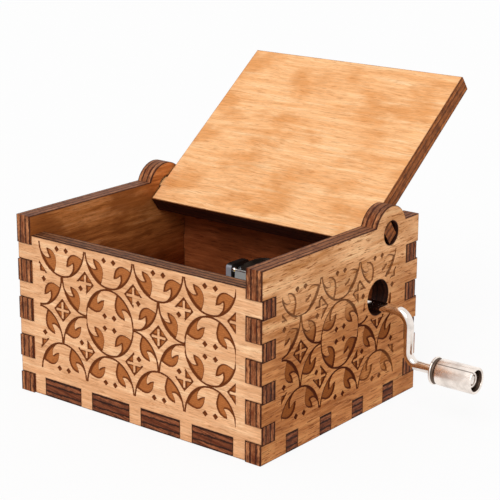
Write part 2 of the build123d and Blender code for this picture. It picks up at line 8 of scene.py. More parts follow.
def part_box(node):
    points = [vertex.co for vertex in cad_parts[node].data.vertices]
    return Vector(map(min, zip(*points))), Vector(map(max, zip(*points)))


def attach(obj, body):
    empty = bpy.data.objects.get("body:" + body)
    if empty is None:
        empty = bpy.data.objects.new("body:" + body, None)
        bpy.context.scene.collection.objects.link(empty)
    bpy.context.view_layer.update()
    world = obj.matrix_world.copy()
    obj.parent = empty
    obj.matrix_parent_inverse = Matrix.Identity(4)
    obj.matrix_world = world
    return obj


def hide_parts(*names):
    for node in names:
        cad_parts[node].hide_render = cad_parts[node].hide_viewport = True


# Looks of the hand-cranked music box: engraved plywood panels, scorched finger joints whose
# dark rims also paint the shade in the joint gaps, a plated movement and a bright bent-wire
# crank. Metres, as the frame; MM turns millimetres into metres.

MM = 0.001
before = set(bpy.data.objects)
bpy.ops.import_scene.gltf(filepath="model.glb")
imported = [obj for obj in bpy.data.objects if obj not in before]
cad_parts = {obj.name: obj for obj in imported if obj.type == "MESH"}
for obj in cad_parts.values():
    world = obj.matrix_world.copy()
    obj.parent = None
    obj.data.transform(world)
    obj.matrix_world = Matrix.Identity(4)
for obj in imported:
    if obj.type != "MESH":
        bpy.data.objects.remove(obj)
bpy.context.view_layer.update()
scene = bpy.context.scene

# ---- camera, solved from the straight edges of the case ----
CAMERA_PLACE = (201.99, -246.40, 124.09)
CAMERA_RIGHT = (0.78306, 0.62193, 0.00405)
CAMERA_UP = (-0.16525, 0.20178, 0.96539)
CAMERA_BACK = (0.59959, -0.75663, 0.26078)
CAMERA_LENS = 115.43
CAMERA_SENSOR = 36.0
CAMERA_CLIP = (0.01, 20.0)
CAMERA_SHIFT = (0.0133, -0.0702)

# ---- engraved ornament, in millimetres on the panel ----
CELL_WIDTH = 13.0
CELL_HEIGHT = 14.1
ROUND_WIDTH = 6.32
ROUND_HEIGHT = 6.87
MOTIF_RADIUS = 6.8
RING_WIDTH = 0.42
DOT_PLACE = 1.28
DOT_SIZE = 0.70
LOZENGE_WIDTH = 2.45
LOZENGE_HEIGHT = 2.55
CROSS_REACH = 1.75
CROSS_WIDTH = 0.5
GRAVING_DEPTH = 0.28
GRAVING_SLOPE = 0.16
GRID_STEP = 0.16

# ---- the leaf's outer arc in degrees and points, and the points along each piece of a curve ----
LEAF_ARC = (-73, -21, 9)
CURVE_STEPS = 5

# ---- flat sides of the boards, and what counts as straight, as one point and as no area ----
FLAT_WITHIN = 0.02
STRAIGHT_WITHIN = 1e-4
SAME_WITHIN = 1e-7
NO_AREA = 1e-9

# ---- sawn and scorched edges of the plywood, the scorched rim partly painted shade of the joint gaps ----
EDGE_ROUND = 0.12
SCORCH_AND_SHADE_REACH = 0.45

# ---- a board's materials: outer face, sawn edge, inner face and edge of a hole ----
OUTER, SAWN, INNER, HOLE = range(4)


# ======== outlines of the panels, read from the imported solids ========
def distinct_vertices(mesh):
    """A mesh's places without repeats, and its triangles as rows of those places."""
    mesh.calc_loop_triangles()
    places = np.zeros(len(mesh.vertices) * 3)
    mesh.vertices.foreach_get("co", places)
    corners = np.zeros(len(mesh.loop_triangles) * 3, int)
    mesh.loop_triangles.foreach_get("vertices", corners)
    rounded = np.round(places.reshape(-1, 3) / MM, 4)
    unique, where = np.unique(rounded, axis=0, return_inverse=True)
    return unique, where.reshape(-1)[corners].reshape(-1, 3)


def boundary_edges(triangles):
    """Directed edges that only one triangle of the set uses."""
    pairs = np.concatenate([triangles[:, [0, 1]], triangles[:, [1, 2]], triangles[:, [2, 0]]])
    known = {tuple(pair) for pair in pairs.tolist()}
    return [pair for pair in known if (pair[1], pair[0]) not in known]


def chained(edges):
    """Directed edges joined end to end into closed rings of vertex numbers."""
    following = dict(edges)
    rings = []
    while following:
        start, step = following.popitem()
        ring = [start]
        while step != start:
            ring.append(step)
            step = following.pop(step)
        rings.append(ring)
    return rings


def without_straight_points(ring):
    """A ring of points less those that lie on a straight line between their neighbours."""
    before = ring - np.roll(ring, 1, axis=0)
    after = np.roll(ring, -1, axis=0) - ring
    turn = before[:, 0] * after[:, 1] - before[:, 1] * after[:, 0]
    length = np.linalg.norm(before, axis=1) * np.linalg.norm(after, axis=1)
    return ring[np.abs(turn) > STRAIGHT_WITHIN * length]


class Side:
    """The flat side of a CAD node that faces a direction, with across and up axes in it."""

    def __init__(self, node, across, up):
        self.node = node
        self.across = np.array(across, float)
        self.up = np.array(up, float)
        self.out = np.cross(self.across, self.up)
        places, triangles = distinct_vertices(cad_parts[node].data)
        heights = places @ self.out
        self.level = heights.max()
        self.thickness = self.level - heights.min()
        outer = triangles[(heights[triangles] > self.level - FLAT_WITHIN).all(axis=1)]
        flat = np.stack([places @ self.across, places @ self.up], axis=1)
        rings = chained(boundary_edges(outer))
        self.rings = [without_straight_points(flat[ring]) for ring in rings]
        lengths = [np.ptp(ring, axis=0).sum() for ring in self.rings]
        self.outline = self.rings[int(np.argmax(lengths))]

    def place(self, flat, depth):
        """Points across and up the side, sunk by a depth, as places in metres."""
        height = (self.level - depth)[:, None]
        return (flat[:, :1] * self.across + flat[:, 1:] * self.up + height * self.out) * MM


def inset(ring, distance):
    """A ring moved into the panel, each corner along the mitre of its two edges."""
    along = np.roll(ring, -1, axis=0) - ring
    along = along / np.linalg.norm(along, axis=1)[:, None]
    left = np.stack([-along[:, 1], along[:, 0]], axis=1)
    both = left + np.roll(left, 1, axis=0)
    share = 1 + (left * np.roll(left, 1, axis=0)).sum(axis=1)
    return ring + distance * both / share[:, None]


def crossings(points, starts, ends):
    """How often a line to the right of each point crosses a set of edges."""
    x, y = points[:, :1], points[:, 1:]
    low = starts[:, 1] <= y
    cut = low != (ends[:, 1] <= y)
    rise = np.where(ends[:, 1] == starts[:, 1], 1.0, ends[:, 1] - starts[:, 1])
    meet = starts[:, 0] + (y - starts[:, 1]) / rise * (ends[:, 0] - starts[:, 0])
    return (cut & (meet > x)).sum(axis=1)


def distance_to_edges(points, starts, ends):
    """Distance from each point to the nearest of a set of straight edges."""
    best = np.full(len(points), np.inf)
    for start, end in zip(starts, ends):
        along = end - start
        share = np.clip(((points - start) @ along) / (along @ along), 0, 1)
        gap = points - start - share[:, None] * along
        best = np.minimum(best, (gap * gap).sum(axis=1))
    return np.sqrt(best)


# ======== the ornament, as a signed distance that is negative where it is cut ========
def rounded_outline(points, steps):
    """A Catmull-Rom curve through points, from the second to the last but one."""
    points = np.array(points, float)
    t = np.linspace(0, 1, steps, endpoint=False)[:, None]
    pieces = []
    for a, b, c, d in zip(points[:-3], points[1:-2], points[2:-1], points[3:]):
        curve = 2 * b + (c - a) * t + (2 * a - 5 * b + 4 * c - d) * t**2
        pieces.append((curve + (3 * b - 3 * c + d - a) * t**3) / 2)
    return np.concatenate(pieces)


def leaf_outline():
    """The beaked leaf in the lower right quarter of a round: back, beak, notch and root."""
    back = [(7.2, -3.4), (6.4, -2.35), (5.1, -1.8), (3.8, -1.6), (2.6, -2.0)]
    back += [(1.75, -3.0), (1.4, -4.6), (1.5, -6.0)]
    notch = [(0.6, -4.9), (1.4, -4.6), (2.4, -4.3), (3.35, -3.65), (4.2, -2.9)]
    root = [(3.2, -2.6), (3.35, -3.65), (3.4, -4.6), (2.95, -5.5), (1.9, -6.4), (0.6, -7.2)]
    turns = np.radians(np.linspace(*LEAF_ARC))
    arc = (MOTIF_RADIUS - RING_WIDTH / 4) * np.stack([np.cos(turns), np.sin(turns)], axis=1)
    curves = [rounded_outline(points, CURVE_STEPS) for points in (back, notch, root)]
    return np.concatenate([*curves, arc])


LEAF = leaf_outline()


def leaf_distance(x, y):
    """Signed distance to the leaf's outline, from its edges and an even-odd count."""
    points = np.stack([x, y], axis=1)
    ends = np.roll(LEAF, -1, axis=0)
    inside = crossings(points, LEAF, ends) % 2 == 1
    return np.where(inside, -1, 1) * distance_to_edges(points, LEAF, ends)


def round_distance(x, y):
    """Signed distance to a round: its ring, four dots, and four leaves like a pinwheel."""
    reach = np.hypot(x / ROUND_WIDTH, y / ROUND_HEIGHT)
    slope = np.hypot(x / ROUND_WIDTH**2, y / ROUND_HEIGHT**2) / np.maximum(reach, 1e-6)
    ring = np.abs(reach - 1) / np.maximum(slope, 1e-6) - RING_WIDTH / 2
    dots = np.abs(np.abs(x) - DOT_PLACE) + np.abs(np.abs(y) - DOT_PLACE) - DOT_SIZE
    dots = np.maximum(dots / np.sqrt(2), -GRAVING_SLOPE)
    a, b = x * MOTIF_RADIUS / ROUND_WIDTH, y * MOTIF_RADIUS / ROUND_HEIGHT
    quarters = [(a > 0) & (b <= 0), (a <= 0) & (b <= 0), (a <= 0) & (b > 0)]
    right = np.select(quarters, [a, -b, -a], b)
    up = np.select(quarters, [b, a, -b], -a)
    leaves = leaf_distance(right, up)
    return np.minimum(np.minimum(ring, dots), leaves)


def lozenge_distance(x, y):
    """Signed distance to a lozenge with a plain upright cross left in it."""
    across, up = np.abs(x), np.abs(y)
    lozenge = (across / LOZENGE_WIDTH + up / LOZENGE_HEIGHT - 1) * LOZENGE_WIDTH / np.sqrt(2)
    bar = np.maximum(across - CROSS_REACH, up - CROSS_WIDTH / 2)
    post = np.maximum(up - CROSS_REACH, across - CROSS_WIDTH / 2)
    return np.maximum(lozenge, -np.minimum(bar, post))


def trellis_distance(x, y, field):
    """Rounds on a lattice, every second one of the middle row turned inside out.

    In a plain cell the round stands on the middle and the lozenges on the corners; in a
    turned cell the four corners have the rounds and the middle has the lozenge.
    """
    column, row = np.round(x / CELL_WIDTH), np.round(y / CELL_HEIGHT)
    mid_x, mid_y = x - column * CELL_WIDTH, y - row * CELL_HEIGHT
    corner_x = mid_x - np.where(mid_x > 0, 0.5, -0.5) * CELL_WIDTH
    corner_y = mid_y - np.where(mid_y > 0, 0.5, -0.5) * CELL_HEIGHT
    swapped = (row == 0) & (column % 2 == 0)
    round_x, round_y = np.where(swapped, corner_x, mid_x), np.where(swapped, corner_y, mid_y)
    star_x, star_y = np.where(swapped, mid_x, corner_x), np.where(swapped, mid_y, corner_y)
    cut = np.minimum(round_distance(round_x, round_y), lozenge_distance(star_x, star_y))
    left, right, bottom, top = field
    beyond = np.maximum.reduce([left - x, x - right, bottom - y, y - top])
    return np.maximum(cut, beyond)


# ======== panels ========
def new_piece(name, places, faces, materials, kinds=0, marks=None, smooth=True):
    """A mesh object from arrays, with float marks on its points for the finishes to read.

    Kinds are the faces' material numbers; one value there or in smooth stands for all faces.
    """
    mesh = bpy.data.meshes.new(name)
    mesh.from_pydata(places, [], faces)
    for material in materials:
        mesh.materials.append(material)
    kinds, smooth = (np.broadcast_to(values, len(faces)) for values in (kinds, smooth))
    mesh.polygons.foreach_set("material_index", kinds.astype(np.int32))
    mesh.polygons.foreach_set("use_smooth", smooth.astype(bool))
    for mark, values in (marks or {}).items():
        layer = mesh.attributes.new(mark, "FLOAT", "POINT")
        layer.data.foreach_set("value", np.array(values, np.float32))
    mesh.update()
    piece = bpy.data.objects.new(name, mesh)
    scene.collection.objects.link(piece)
    return piece


def ring_band(first, second, count):
    """Quads between two rings of equal length whose points start at two numbers."""
    i = np.arange(count)
    j = (i + 1) % count
    return np.stack([first + i, first + j, second + j, second + i], axis=1)


def filled(points, edges):
    """Triangles that fill the area inside a set of closed edges, by the even-odd rule."""
    used, where = np.unique(edges, return_inverse=True)
    local, own = points[used], where.reshape(edges.shape)
    flat = [Vector(point) for point in local.tolist()]
    result = delaunay_2d_cdt(flat, [tuple(e) for e in own.tolist()], [], 0, SAME_WITHIN)
    first = np.array([origins[0] for origins in result[3]])
    triangles = first[np.array(result[2])]
    middles = local[triangles].mean(axis=1)
    inside = crossings(middles, local[own[:, 0]], local[own[:, 1]]) % 2 == 1
    a, b, c = (local[triangles[:, k]] for k in range(3))
    area = (b[:, 0] - a[:, 0]) * (c[:, 1] - a[:, 1]) - (b[:, 1] - a[:, 1]) * (c[:, 0] - a[:, 0])
    facing = np.where((area > 0)[:, None], triangles, triangles[:, ::-1])
    return used[facing[inside & (np.abs(area) > NO_AREA)]]


def carved_grid(side, ornament):
    """The engraved field as a fine grid: its points, their cut, its quads and its rim."""
    (middle_x, middle_y), field = ornament
    left, right, bottom, top = field
    columns, rows = int((right - left) / GRID_STEP) + 3, int((top - bottom) / GRID_STEP) + 3
    across = np.linspace(left - GRID_STEP, right + GRID_STEP, columns)
    up = np.linspace(bottom - GRID_STEP, top + GRID_STEP, rows)
    x, y = (values.ravel() for values in np.meshgrid(across, up))
    cut = trellis_distance(x, y, field)
    points = np.stack([x + middle_x, y + middle_y], axis=1)
    corner = (np.arange(rows - 1)[:, None] * columns + np.arange(columns - 1)).ravel()
    quads = np.stack([corner, corner + 1, corner + columns + 1, corner + columns], axis=1)
    for ring in side.rings:
        if ring is side.outline:
            continue
        middle = (ring.max(axis=0) + ring.min(axis=0)) / 2
        clear = np.ptp(ring[:, 0]) / 2 + 2 * SCORCH_AND_SHADE_REACH
        if np.hypot(*(points.mean(axis=0) - middle)) < np.ptp(across) + np.ptp(up):
            near = np.hypot(*(points - middle).T) < clear
            quads = quads[~near[quads].any(axis=1)]
    pairs = np.concatenate([quads[:, [k, (k + 1) % 4]] for k in range(4)])
    forward = pairs[:, 0] * len(points) + pairs[:, 1]
    backward = pairs[:, 1] * len(points) + pairs[:, 0]
    rim = pairs[~np.isin(forward, backward)]
    used, where = np.unique(quads, return_inverse=True)
    quads = where.reshape(quads.shape)
    rim = np.searchsorted(used, rim)
    return points[used], cut[used], quads, rim


def carved_panel(name, side, materials, ornament=None):
    """A plywood panel: rounded arrises, plies through its edges, and an engraved field.

    Each outline ring is repeated at the arris, at the end of the scorched rim, which also paints
    the shade of the joint gaps, and on the inner side. The area inside the rims is triangulated
    round the field's grid. The four materials are the outer face, the sawn edge, the inner face
    and the edge of a hole.
    """
    grid = (np.zeros((0, 2)), np.zeros(0), np.zeros((0, 4), int), np.zeros((0, 2), int))
    if ornament:
        grid = carved_grid(side, ornament)
    points, cut, quads, grid_rim = grid
    sink = GRAVING_DEPTH * np.clip(-cut / GRAVING_SLOPE, 0, 1)
    none = np.zeros(len(points))
    flats, depths, scorch_and_shade, plies = [points], [sink], [none], [none]
    faces, kinds = [quads], [np.full(len(quads), OUTER)]
    outer_edges, inner_edges = [grid_rim], []
    start = len(points)
    back = side.thickness
    layers = (
        (SCORCH_AND_SHADE_REACH, 0.0, 0.0),
        (EDGE_ROUND, 0.0, 1.0),
        (0.0, EDGE_ROUND, 1.0),
        (0.0, back - EDGE_ROUND, 1.0),
        (EDGE_ROUND, back, 1.0),
        (SCORCH_AND_SHADE_REACH, back, 0.0),
    )
    for ring in side.rings:
        count = len(ring)
        sawn = SAWN if ring is side.outline else HOLE
        band_kinds = (OUTER, sawn, sawn, sawn, INNER)
        for distance, depth, burnt in layers:
            flats.append(inset(ring, distance))
            depths.append(np.full(count, depth))
            scorch_and_shade.append(np.full(count, burnt))
            plies.append(np.full(count, depth / back))
        for k, kind in enumerate(band_kinds):
            faces.append(ring_band(start + (k + 1) * count, start + k * count, count))
            kinds.append(np.full(count, kind))
        i = np.arange(count)
        loop = np.stack([i, (i + 1) % count], axis=1)
        outer_edges.append(start + loop)
        inner_edges.append(start + (len(layers) - 1) * count + loop)
        start += len(layers) * count
    flat = np.concatenate(flats)
    outer = filled(flat, np.concatenate(outer_edges))
    inner = filled(flat, np.concatenate(inner_edges))[:, ::-1]
    all_faces = [row for part in (*faces, outer, inner) for row in part.tolist()]
    kinds += [np.full(len(outer), OUTER), np.full(len(inner), INNER)]
    smooth = np.zeros(len(all_faces), bool)
    smooth[: len(quads)] = True
    clear_cut = np.full(len(flat), 1.0)
    clear_cut[: len(cut)] = cut
    marks = {"cut": clear_cut, "scorch_and_shade": np.concatenate(scorch_and_shade), "ply": np.concatenate(plies)}
    places = side.place(flat, np.concatenate(depths))
    return new_piece(name, places, all_faces, materials, np.concatenate(kinds), marks, smooth)


# ======== finishes ========
COLOUR, NUMBER, VECTOR = "NodeSocketColor", "NodeSocketFloat", "NodeSocketVector"

# ---- noises: scale, detail, roughness, the stretch of the place, and its shift ----
BEND_NOISE = (1.0, 2, 0.5, (0.035, 0.10, 0.10))
STREAK_NOISE = (1.0, 6, 0.68, (0.05, 0.8, 0.8))
FIBRE_NOISE = (1.0, 5, 0.75, (0.3, 4.0, 4.0), (3, 1, 7))
DASH_NOISE = (1.0, 3, 0.6, (0.32, 3.6, 3.6), (11, 5, 2))
BLOTCH_AND_SHADE_NOISE = (1.0, 4, 0.55, (0.075, 0.12, 0.12), (5, 9, 4))
RIM_NOISE = (1.0, 3, 0.6, (3, 3, 3))
CHAR_NOISE = (1.0, 5, 0.75, (2.2, 2.2, 4.5), (2, 8, 1))
SCORCH_AND_SHADE_NOISE = (1.0, 3, 0.6, (0.8, 0.8, 0.8))
WANDER_NOISE = (1.0, 4, 0.65, (1.1, 1.1, 1.1))
THREAD_NOISE = (1.0, 5, 0.75)
SOOT_NOISE = (1.0, 3, 0.6, (0.5, 0.5, 0.5), (4, 1, 6))
BRUSH_NOISE = (3.0, 4, 0.7)
STAIN_NOISE = (0.5, 3, 0.55, (1, 1, 1), (7, 3, 5))

# ---- levels: the two values between which a mark comes in, then what it goes from and to ----
BEND_LEVELS = (0, 1, -2.0, 2.0)
STREAK_LEVELS = (0.44, 0.68)
PALE_LEVELS = (0.50, 0.30, 0, 0.8)
BLOTCH_AND_SHADE_LEVELS = (0.44, 0.64)
FIBRE_LEVELS = (0.32, 0.68, 0.80, 1.14)
DASH_LEVELS = (0.555, 0.65)
RAGGED_LEVELS = (0.3, 0.7, -0.035, 0.035)
CUT_LEVELS = (0.03, -0.05)
LINE_LEVELS = (-0.46, -0.16)
LINE_FADE_LEVELS = (0, 1, 1.0, 0.25)
PASS_LEVELS = (0, 1, 0.0, 0.16)
CHAR_LEVELS = (0.35, 0.7, 0.0, 0.5)
SCORCH_AND_SHADE_LEVELS = (0.35, 1.0)
UNEVEN_LEVELS = (0.3, 0.7, 0.25, 0.9)
CORE_LEVELS = (0.20, 0.14)
THREAD_LEVELS = (0.40, 0.60)
SOOT_LEVELS = (0.45, 0.7, 0, 0.5)
BRUSH_LEVELS = (0.3, 0.7)
STAIN_POLISH_LEVELS = (0.4, 0.7)
STAIN_LEVELS = (0.4, 0.75, 0, 0.35)
WOOD_ROUGHNESS_LEVELS = (0.2, 0.8, 0.62, 0.48)

# ---- levels by a place in millimetres, or by the upward part of a normal for edges painted as lit from above ----
BASE_LEVELS = (36.0, 16.0)
REAR_LEVELS = (5, 8)
REAR_FOOT_LEVELS = (13, 11, 0, 0.75)
PAINTED_LIGHT_UP_LEVELS = (0.7, 0.9)

# ---- strengths, shares and depths ----
DASH_TINT = (0.62, 0.52, 0.42, 1)
DASH_DEPTH = 0.8
PASS_WAVES = {"Scale": 0.8, "Distortion": 1.2}
CUT_ROUGHNESS = 0.85
WOOD_SHINE = 0.15
EDGE_ROUGHNESS = 0.6
EDGE_SHINE = 0.12
GLUE_LINES = ((0.0, 0.09), (0.30, 0.05), (0.67, 0.05), (1.0, 0.09))
GLUE_SOFTNESS = 0.03
GLUE_DEPTH = 0.5
CORE_PLACE = 0.485
CORE_SHARE = 0.5
PLY_STRETCH = 9.0
THREAD_STRETCH = (0.35, 0.35, 0.35)
WOOD_BUMP = (0.5, 0.05)
EDGE_BUMP = (0.7, 0.1)
METAL_BUMP = (0.15, 0.01)


def srgb(code):
    """A colour written as six hex digits, as the linear colour that the shaders take."""
    values = [int(code[k:k + 2], 16) / 255 for k in (0, 2, 4)]
    linear = [v / 12.92 if v <= 0.04045 else ((v + 0.055) / 1.055) ** 2.4 for v in values]
    return (*linear, 1.0)


# Colour of the scorched rim beside each cut: scorching, and painted shade of the joint gaps.
SCORCH_AND_SHADE_TONE = srgb("7a4526")
STAIN_TONE = srgb("5a5048")


def feed(tree, node, inputs):
    """Gives each named input of a node its value, or a link from its source socket."""
    for name, value in inputs.items():
        if isinstance(value, bpy.types.NodeSocket):
            tree.links.new(value, node.inputs[name])
        else:
            node.inputs[name].default_value = value


def add(tree, kind, inputs=None, **settings):
    """A shader node with its settings, each input given a value or a source socket."""
    node = tree.nodes.new(kind)
    for name, value in settings.items():
        setattr(node, name, value)
    feed(tree, node, inputs or {})
    return node


def mixed(tree, share, first, second, blend="MIX"):
    """A colour between two, or the second laid over the first in a blend mode."""
    inputs = {0: share, 6: first, 7: second}
    return add(tree, "ShaderNodeMix", inputs, data_type="RGBA", blend_type=blend).outputs[2]


def ranged(tree, value, low, high, out_low=0.0, out_high=1.0, smooth=False):
    """A value mapped from one range to another and held inside it."""
    kind = "SMOOTHSTEP" if smooth else "LINEAR"
    inputs = {"Value": value, "From Min": low, "From Max": high}
    inputs |= {"To Min": out_low, "To Max": out_high}
    return add(tree, "ShaderNodeMapRange", inputs, interpolation_type=kind).outputs[0]


def worked(tree, operation, first, second=0.0):
    """One arithmetic step on two values."""
    return add(tree, "ShaderNodeMath", {0: first, 1: second}, operation=operation).outputs[0]


def times(tree, first, second):
    """The product of two values."""
    return worked(tree, "MULTIPLY", first, second)


def apart(tree, first, second):
    """The distance between two values."""
    return worked(tree, "ABSOLUTE", worked(tree, "SUBTRACT", first, second))


def shifted(tree, operation, first, second):
    """One arithmetic step on two vectors."""
    inputs = {0: first, 1: second}
    return add(tree, "ShaderNodeVectorMath", inputs, operation=operation).outputs[0]


def parted(tree, vector):
    """A vector's three parts."""
    return add(tree, "ShaderNodeSeparateXYZ", {"Vector": vector}).outputs


def marked(tree, mark):
    """The value of one of the float marks on a panel's points."""
    return add(tree, "ShaderNodeAttribute", attribute_name=mark).outputs["Fac"]


def normal_part(tree, axis):
    """One part of the surface's normal in the object's own axes."""
    return parted(tree, add(tree, "ShaderNodeTexCoord").outputs["Normal"])[axis]


def in_millimetres(tree, shift=(0, 0, 0)):
    """A point's own place on its object in millimetres, moved by a shift."""
    place = add(tree, "ShaderNodeTexCoord").outputs["Object"]
    inputs = {"Vector": place, "Scale": (1 / MM, 1 / MM, 1 / MM), "Location": shift}
    return add(tree, "ShaderNodeMapping", inputs).outputs[0]


def noise(tree, place, scale, detail, roughness, stretch=(1, 1, 1), shift=(0, 0, 0)):
    """Fractal noise on a place that is stretched and shifted first."""
    spread = add(tree, "ShaderNodeMapping", {"Vector": place, "Scale": stretch, "Location": shift})
    inputs = {"Vector": spread.outputs[0], "Scale": scale}
    inputs |= {"Detail": detail, "Roughness": roughness}
    return add(tree, "ShaderNodeTexNoise", inputs).outputs[0]


def ragged(tree, value, rough):
    """A value pushed a little up and down by a noise."""
    return worked(tree, "ADD", value, ranged(tree, rough, *RAGGED_LEVELS))


def new_group(name, inputs, outputs):
    """An empty shader node group with named sockets, its input node and its output node."""
    group = bpy.data.node_groups.new(name, "ShaderNodeTree")
    for way, sockets in (("INPUT", inputs), ("OUTPUT", outputs)):
        for socket, kind in sockets.items():
            group.interface.new_socket(socket, in_out=way, socket_type=kind)
    return group, add(group, "NodeGroupInput"), add(group, "NodeGroupOutput")


def wood_figure_group():
    """Wood seen along the grain: broad streaks, fine fibres, short dark dashes, soft dark patches
    that also paint broad shade.

    Grain is a place in millimetres whose first axis runs along the grain.
    """
    inputs = {"Grain": VECTOR, "Wood": COLOUR, "Dark": COLOUR, "Pale": COLOUR}
    inputs |= {"Streaks": NUMBER, "Dashes": NUMBER, "Blotches": NUMBER}
    outputs = {"Color": COLOUR, "Height": NUMBER}
    group, given, result = new_group("wood_figure", inputs, outputs)
    figure = given.outputs
    bend = noise(group, figure["Grain"], *BEND_NOISE)
    lift = add(group, "ShaderNodeCombineXYZ", {1: ranged(group, bend, *BEND_LEVELS)}).outputs[0]
    grain = shifted(group, "ADD", figure["Grain"], lift)
    streaks = noise(group, grain, *STREAK_NOISE)
    fibres = noise(group, grain, *FIBRE_NOISE)
    dashes = noise(group, grain, *DASH_NOISE)
    # Soft patches: wood figure, and painted broad shade where they are strong, as on the inner
    # lid.
    blotches_and_shade = noise(group, figure["Grain"], *BLOTCH_AND_SHADE_NOISE)
    streak = times(group, ranged(group, streaks, *STREAK_LEVELS, smooth=True), figure["Streaks"])
    tone = mixed(group, streak, figure["Wood"], figure["Dark"])
    tone = mixed(group, ranged(group, streaks, *PALE_LEVELS, smooth=True), tone, figure["Pale"])
    blotch_and_shade = ranged(group, blotches_and_shade, *BLOTCH_AND_SHADE_LEVELS, smooth=True)
    tone = mixed(group, times(group, blotch_and_shade, figure["Blotches"]), tone, figure["Dark"])
    fibre = ranged(group, fibres, *FIBRE_LEVELS)
    shade = add(group, "ShaderNodeCombineColor", {0: fibre, 1: fibre, 2: fibre}).outputs[0]
    tone = mixed(group, 1.0, tone, shade, "MULTIPLY")
    dash = times(group, ranged(group, dashes, *DASH_LEVELS, smooth=True), figure["Dashes"])
    tone = mixed(group, dash, tone, mixed(group, 1.0, figure["Dark"], DASH_TINT, "MULTIPLY"))
    height = worked(group, "SUBTRACT", fibres, times(group, dash, DASH_DEPTH))
    feed(group, result, {"Color": tone, "Height": height})
    return group


def graving_group():
    """Laser engraving over a wood colour: a ragged rim, dark lines and browner floors.

    Fade is how far the engraving goes back to the wood's colour, which dark lines do less.
    """
    inputs = {"Wood": COLOUR, "Place": VECTOR, "Floor": COLOUR, "Line": COLOUR, "Fade": NUMBER}
    group, given, result = new_group("graving", inputs, {"Color": COLOUR, "Cut": NUMBER})
    plain, place, floor, dark, fade = (given.outputs[name] for name in inputs)
    depth = ragged(group, marked(group, "cut"), noise(group, place, *RIM_NOISE))
    cut = ranged(group, depth, *CUT_LEVELS, smooth=True)
    line = ranged(group, depth, *LINE_LEVELS, smooth=True)
    waves = {"Vector": place} | PASS_WAVES
    passes = add(group, "ShaderNodeTexWave", waves, bands_direction="Z").outputs[1]
    char = ranged(group, noise(group, place, *CHAR_NOISE), *CHAR_LEVELS)
    shade = worked(group, "ADD", ranged(group, passes, *PASS_LEVELS), char)
    burnt = mixed(group, line, mixed(group, shade, floor, dark), dark)
    faint = times(group, fade, ranged(group, line, *LINE_FADE_LEVELS))
    burnt = mixed(group, faint, burnt, plain)
    feed(group, result, {"Color": mixed(group, cut, plain, burnt), "Cut": cut})
    return group


WOOD_FIGURE = wood_figure_group()
GRAVING = graving_group()
ALONG_X = (0, 0, 0)
ALONG_Y = (0, 0, radians(90))


def new_material(name):
    """A material with an empty Principled shader, its node tree and the shader."""
    material = bpy.data.materials.new(name)
    material.use_nodes = True
    return material, material.node_tree, material.node_tree.nodes["Principled BSDF"]


def painted(material):
    """A finished material's node tree, its shader, and the socket that colours it."""
    tree = material.node_tree
    shader = tree.nodes["Principled BSDF"]
    return tree, shader, shader.inputs["Base Color"].links[0].from_socket


def bumped(tree, shader, height, strength, distance):
    """Feeds a height into the shader's normal, over a distance in millimetres."""
    inputs = {"Height": height, "Strength": strength, "Distance": distance * MM}
    feed(tree, shader, {"Normal": add(tree, "ShaderNodeBump", inputs).outputs[0]})


def wood(name, codes, turn, amounts, graving=None, fade=None, base=None):
    """Plywood's outer veneer, with an optional engraving and a scorched rim that also paints
    joint-gap shade.

    Codes are the wood's middle, dark and pale colours, and amounts say how much of streaks,
    dashes and soft patches, partly painted shade, it has. Fade gives two heights between which
    the engraving goes faint. Base is a deeper colour that the veneer turns towards near the floor.
    """
    material, tree, shader = new_material(name)
    place = in_millimetres(tree)
    grain = add(tree, "ShaderNodeMapping", {"Vector": place, "Rotation": turn}).outputs[0]
    inputs = {"Grain": grain} | dict(zip(("Wood", "Dark", "Pale"), map(srgb, codes)))
    inputs |= dict(zip(("Streaks", "Dashes", "Blotches"), amounts))
    figure = add(tree, "ShaderNodeGroup", inputs, node_tree=WOOD_FIGURE).outputs
    tone, height = figure["Color"], figure["Height"]
    rough = ranged(tree, height, *WOOD_ROUGHNESS_LEVELS)
    back, up = parted(tree, place)[1:]
    if base:
        low = ranged(tree, up, *BASE_LEVELS, smooth=True)
        tone = mixed(tree, low, tone, mixed(tree, 1.0, tone, srgb(base), "MULTIPLY"))
    if graving:
        faint = 0.0
        if fade:
            upper = ranged(tree, up, *fade, smooth=True)
            foot = ranged(tree, up, *REAR_FOOT_LEVELS)
            rear = times(tree, ranged(tree, back, *REAR_LEVELS), foot)
            faint = worked(tree, "MAXIMUM", upper, rear)
        inputs = {"Wood": tone, "Place": place, "Fade": faint}
        inputs |= dict(zip(("Floor", "Line"), graving))
        burn = add(tree, "ShaderNodeGroup", inputs, node_tree=GRAVING).outputs
        tone = burn["Color"]
        rough = worked(tree, "MAXIMUM", rough, times(tree, burn["Cut"], CUT_ROUGHNESS))
    # Scorched rim: partly scorching, partly painted shade of the gaps where the boards meet.
    rim = ranged(tree, marked(tree, "scorch_and_shade"), *SCORCH_AND_SHADE_LEVELS, smooth=True)
    uneven = ranged(tree, noise(tree, place, *SCORCH_AND_SHADE_NOISE), *UNEVEN_LEVELS)
    tone = mixed(tree, times(tree, rim, uneven), tone, SCORCH_AND_SHADE_TONE)
    feed(tree, shader, {"Base Color": tone, "Roughness": rough, "Specular IOR Level": WOOD_SHINE})
    bumped(tree, shader, height, *WOOD_BUMP)
    return material


